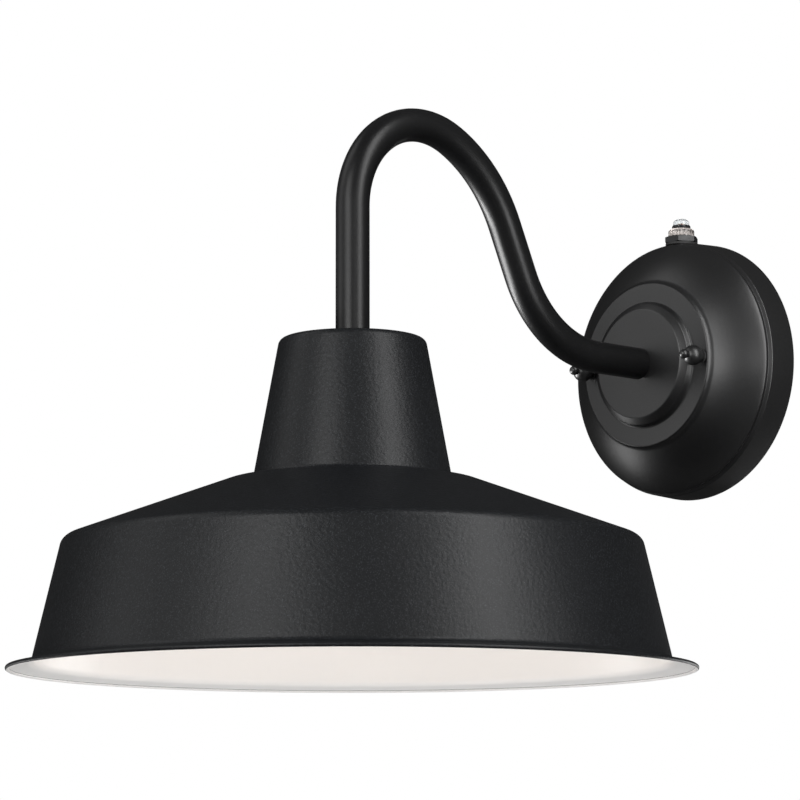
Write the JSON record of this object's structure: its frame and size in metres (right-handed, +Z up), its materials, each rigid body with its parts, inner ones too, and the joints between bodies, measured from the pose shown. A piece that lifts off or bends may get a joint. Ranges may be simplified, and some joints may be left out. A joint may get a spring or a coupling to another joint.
{
  "type": "gooseneck wall light",
  "caption": "Outdoor gooseneck barn light: flared metal shade on an arched tube, round wall canopy with dusk-to-dawn light sensor, porcelain lampholder and bulb.",
  "frame": {"origin": "middle of the box strap's back face, in the wall plane, on the axis of the canopy", "axes": "+Z up, +Y into the wall, -Y out of the wall towards the shade, +X to the right as seen from the room"},
  "size_m": [0.319, 0.4016, 0.2727],
  "materials": {
    "zinc_steel": "bright zinc plate",
    "shade_coat": "fine textured black coat outside, gloss white inside",
    "black_coat": "satin black coat",
    "green_paint": "green dip",
    "green_sleeve": "satin",
    "gasket_foam": "closed-cell foam",
    "black_rubber": "matte",
    "yellow_brass": "satin",
    "porcelain": "glazed",
    "black_sleeve": "satin",
    "white_sleeve": "satin",
    "red_sleeve": "satin",
    "wire_nut_plastic": "moulded",
    "black_plastic": "moulded",
    "smoked_plastic": "translucent",
    "clear_plastic": "clear",
    "cell_face": "lacquered",
    "bulb_metal": "satin",
    "bulb_plastic": "satin",
    "frosted_globe": "frosted"
  },
  "bodies": {
    "crossbar": {"box_strap": "zinc_steel", "swivel_eyelet": "zinc_steel"},
    "fixture": {"stud_strap": "zinc_steel", "canopy_studs": "zinc_steel", "stud_locknuts": "zinc_steel", "ground_screw": "green_paint", "ground_lead": "green_sleeve", "wall_gasket": "gasket_foam", "canopy": "black_coat", "canopy_washer": "zinc_steel", "canopy_lock_washer": "zinc_steel", "canopy_nut": "yellow_brass", "wall_nipple": "zinc_steel", "arm_insert_wall": "zinc_steel", "gooseneck_arm": "black_coat", "arm_insert_shade": "zinc_steel", "shade_nipple": "zinc_steel", "shade": "shade_coat", "shade_seal": "black_rubber", "socket_bracket": "zinc_steel", "shade_lock_washer": "zinc_steel", "shade_nut": "yellow_brass", "socket_body": "porcelain", "socket_screws": "zinc_steel", "screw_shell": "yellow_brass", "centre_contact": "yellow_brass", "lamp_lead_black": "black_sleeve", "lamp_lead_white": "white_sleeve", "wire_nut_load": "wire_nut_plastic", "wire_nut_neutral": "wire_nut_plastic", "sensor_module": "black_plastic", "sensor_barrel": "smoked_plastic", "sensor_seal": "black_rubber", "sensor_nut": "black_plastic", "sensor_ring": "black_plastic", "sensor_cap": "clear_plastic", "sensor_cell": "cell_face", "sensor_lead_black": "black_sleeve", "sensor_lead_red": "red_sleeve", "sensor_lead_white": "white_sleeve"},
    "seal_washer_left": {"seal_washer_left": "black_rubber"},
    "seal_washer_right": {"seal_washer_right": "black_rubber"},
    "ball_nut_left": {"ball_nut_left": "black_coat"},
    "ball_nut_right": {"ball_nut_right": "black_coat"},
    "bulb": {"bulb_base": "bulb_metal", "bulb_contact": "yellow_brass", "bulb_collar": "bulb_plastic", "bulb_globe": "frosted_globe"}
  },
  "joints": [
    {"name": "level_swivel", "type": "hinge", "parent": "crossbar", "child": "fixture", "pos_m": [0, 0, 0], "axis": [0, 1, 0], "range_deg": [-20, 20]},
    {"name": "bulb_out", "type": "slide", "parent": "fixture", "child": "bulb", "axis": [0, 0, -1], "range_m": [0, 0.13]},
    {"name": "nut_travel_left", "type": "slide", "parent": "fixture", "child": "seal_washer_left", "axis": [0, -1, 0], "range_m": [0, 0.0079]},
    {"name": "nut_turn_left", "type": "hinge", "parent": "seal_washer_left", "child": "ball_nut_left", "pos_m": [-0.0375, -0.04, 0], "axis": [0, -1, 0], "range_deg": [0, 3600]},
    {"name": "nut_travel_right", "type": "slide", "parent": "fixture", "child": "seal_washer_right", "axis": [0, -1, 0], "range_m": [0, 0.0079]},
    {"name": "nut_turn_right", "type": "hinge", "parent": "seal_washer_right", "child": "ball_nut_right", "pos_m": [0.0375, -0.04, 0], "axis": [0, -1, 0], "range_deg": [0, 3600]}
  ],
  "couplings": [
    {"joint": "nut_turn_left", "follows": "nut_travel_left", "rad_per_m": 7915.8},
    {"joint": "nut_turn_right", "follows": "nut_travel_right", "rad_per_m": 7915.8}
  ]
}
